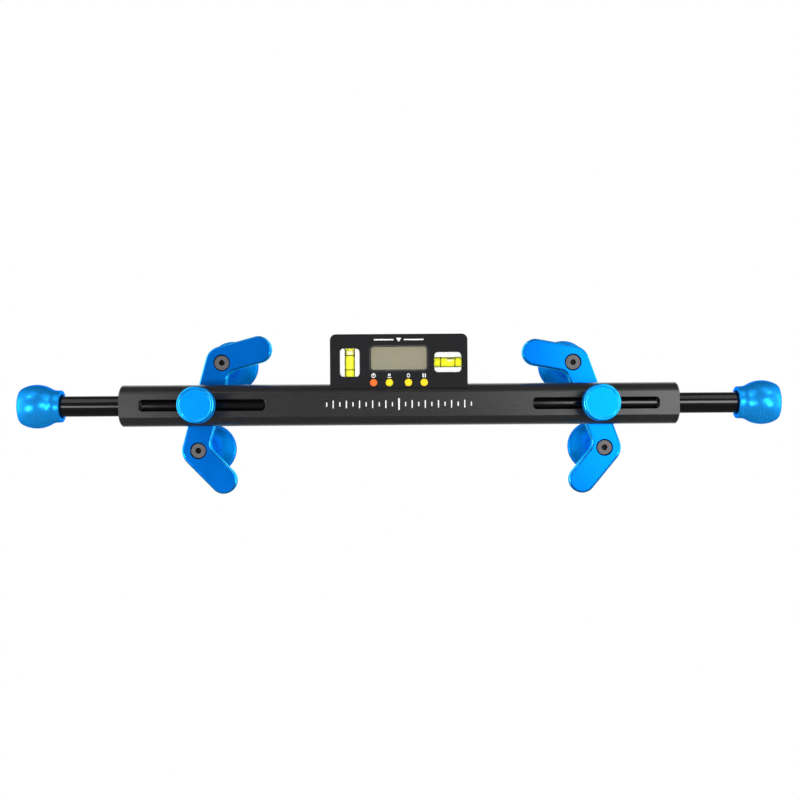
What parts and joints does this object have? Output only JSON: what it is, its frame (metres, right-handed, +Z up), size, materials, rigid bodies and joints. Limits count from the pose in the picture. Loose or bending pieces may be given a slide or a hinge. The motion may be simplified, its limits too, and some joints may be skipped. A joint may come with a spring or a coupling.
{
  "type": "digital steering wheel level",
  "caption": "Long black bar with a small digital level at its centre, ball knobs on sprung pull rods, and forked blue brackets whose spools grip a steering wheel's rim.",
  "frame": {"origin": "middle of the bar's axis, midway between the two clamp bolts", "axes": "+X right along the bar as seen from the front, +Z up towards the digital level, +Y away from the viewer, from the display towards the steering wheel"},
  "size_m": [0.583, 0.1171, 0.1245],
  "materials": {
    "bar_black": "satin black anodised",
    "rod_black": "polished black chrome",
    "anodised_blue": "satin blue anodised",
    "dark_steel": "black oxide",
    "bright_steel": "zinc plated",
    "friction_pad": "matt",
    "case_black": "fine moulded texture",
    "clear_window": "clear, polished",
    "lcd_grey": "satin",
    "button_orange": "satin",
    "button_yellow": "satin",
    "clear_vial": "clear, polished",
    "vial_liquid": "clear liquid",
    "holder_white": "satin",
    "board_green": "solder mask",
    "chip_black": "matt",
    "battery_wrap": "plain wrap"
  },
  "bodies": {
    "bar_and_level": {"bar": "bar_black", "spring_anchor_pin": "bright_steel", "left_spring": "bright_steel", "right_spring": "bright_steel", "level_front_shell": "case_black", "level_back_shell": "case_black", "case_screws": "dark_steel", "level_screws": "bright_steel", "lcd_window": "clear_window", "lcd_panel": "lcd_grey", "upright_vial": "clear_vial", "upright_liquid": "vial_liquid", "upright_vial_holder": "holder_white", "level_vial": "clear_vial", "level_liquid": "vial_liquid", "level_vial_holder": "holder_white", "vial_plugs": "vial_liquid", "circuit_board": "board_green", "board_chips": "chip_black", "board_screws": "bright_steel", "key_switches": "bright_steel", "batteries": "battery_wrap", "battery_contacts": "bright_steel", "battery_door": "case_black", "door_screw": "bright_steel"},
    "left_carriage": {"left_pull_rod": "rod_black", "left_ball_knob": "anodised_blue", "left_spring_pin": "bright_steel", "left_clamp_bolt": "bright_steel", "left_front_washer": "bright_steel", "left_friction_washer": "friction_pad"},
    "left_bracket": {"left_bracket_plate": "anodised_blue", "left_upper_spool": "anodised_blue", "left_lower_spool": "anodised_blue", "left_spool_screws": "dark_steel"},
    "left_knob": {"left_thumb_knob": "anodised_blue"},
    "right_carriage": {"right_pull_rod": "rod_black", "right_ball_knob": "anodised_blue", "right_spring_pin": "bright_steel", "right_clamp_bolt": "bright_steel", "right_front_washer": "bright_steel", "right_friction_washer": "friction_pad"},
    "right_bracket": {"right_bracket_plate": "anodised_blue", "right_upper_spool": "anodised_blue", "right_lower_spool": "anodised_blue", "right_spool_screws": "dark_steel"},
    "right_knob": {"right_thumb_knob": "anodised_blue"},
    "power_key": {"power_button": "button_orange"},
    "unit_key": {"unit_button": "button_yellow"},
    "zero_key": {"zero_button": "button_yellow"},
    "hold_key": {"hold_button": "button_yellow"}
  },
  "joints": [
    {"name": "left_carriage_slide", "type": "slide", "parent": "bar_and_level", "child": "left_carriage", "axis": [-1, 0, 0], "range_m": [-0.0451, 0.0429], "stiffness_N_per_m": 250, "springref_m": -0.071, "deforming": ["left_spring"]},
    {"name": "left_bracket_pivot", "type": "hinge", "parent": "left_carriage", "child": "left_bracket", "pos_m": [-0.1511, 0, 0], "axis": [0, 1, 0], "continuous": true},
    {"name": "left_knob_turn", "type": "hinge", "parent": "left_carriage", "child": "left_knob", "pos_m": [-0.1511, 0, 0], "axis": [0, -1, 0], "range_deg": [0, 360]},
    {"name": "right_carriage_slide", "type": "slide", "parent": "bar_and_level", "child": "right_carriage", "axis": [1, 0, 0], "range_m": [-0.0451, 0.0429], "stiffness_N_per_m": 250, "springref_m": -0.071, "deforming": ["right_spring"]},
    {"name": "right_bracket_pivot", "type": "hinge", "parent": "right_carriage", "child": "right_bracket", "pos_m": [0.1511, 0, 0], "axis": [0, 1, 0], "continuous": true},
    {"name": "right_knob_turn", "type": "hinge", "parent": "right_carriage", "child": "right_knob", "pos_m": [0.1511, 0, 0], "axis": [0, -1, 0], "range_deg": [0, 360]},
    {"name": "power_button_press", "type": "slide", "parent": "bar_and_level", "child": "power_key", "axis": [0, 1, 0], "range_m": [0, 0.0007], "stiffness_N_per_m": 500},
    {"name": "unit_button_press", "type": "slide", "parent": "bar_and_level", "child": "unit_key", "axis": [0, 1, 0], "range_m": [0, 0.0007], "stiffness_N_per_m": 500},
    {"name": "zero_button_press", "type": "slide", "parent": "bar_and_level", "child": "zero_key", "axis": [0, 1, 0], "range_m": [0, 0.0007], "stiffness_N_per_m": 500},
    {"name": "hold_button_press", "type": "slide", "parent": "bar_and_level", "child": "hold_key", "axis": [0, 1, 0], "range_m": [0, 0.0007], "stiffness_N_per_m": 500}
  ]
}
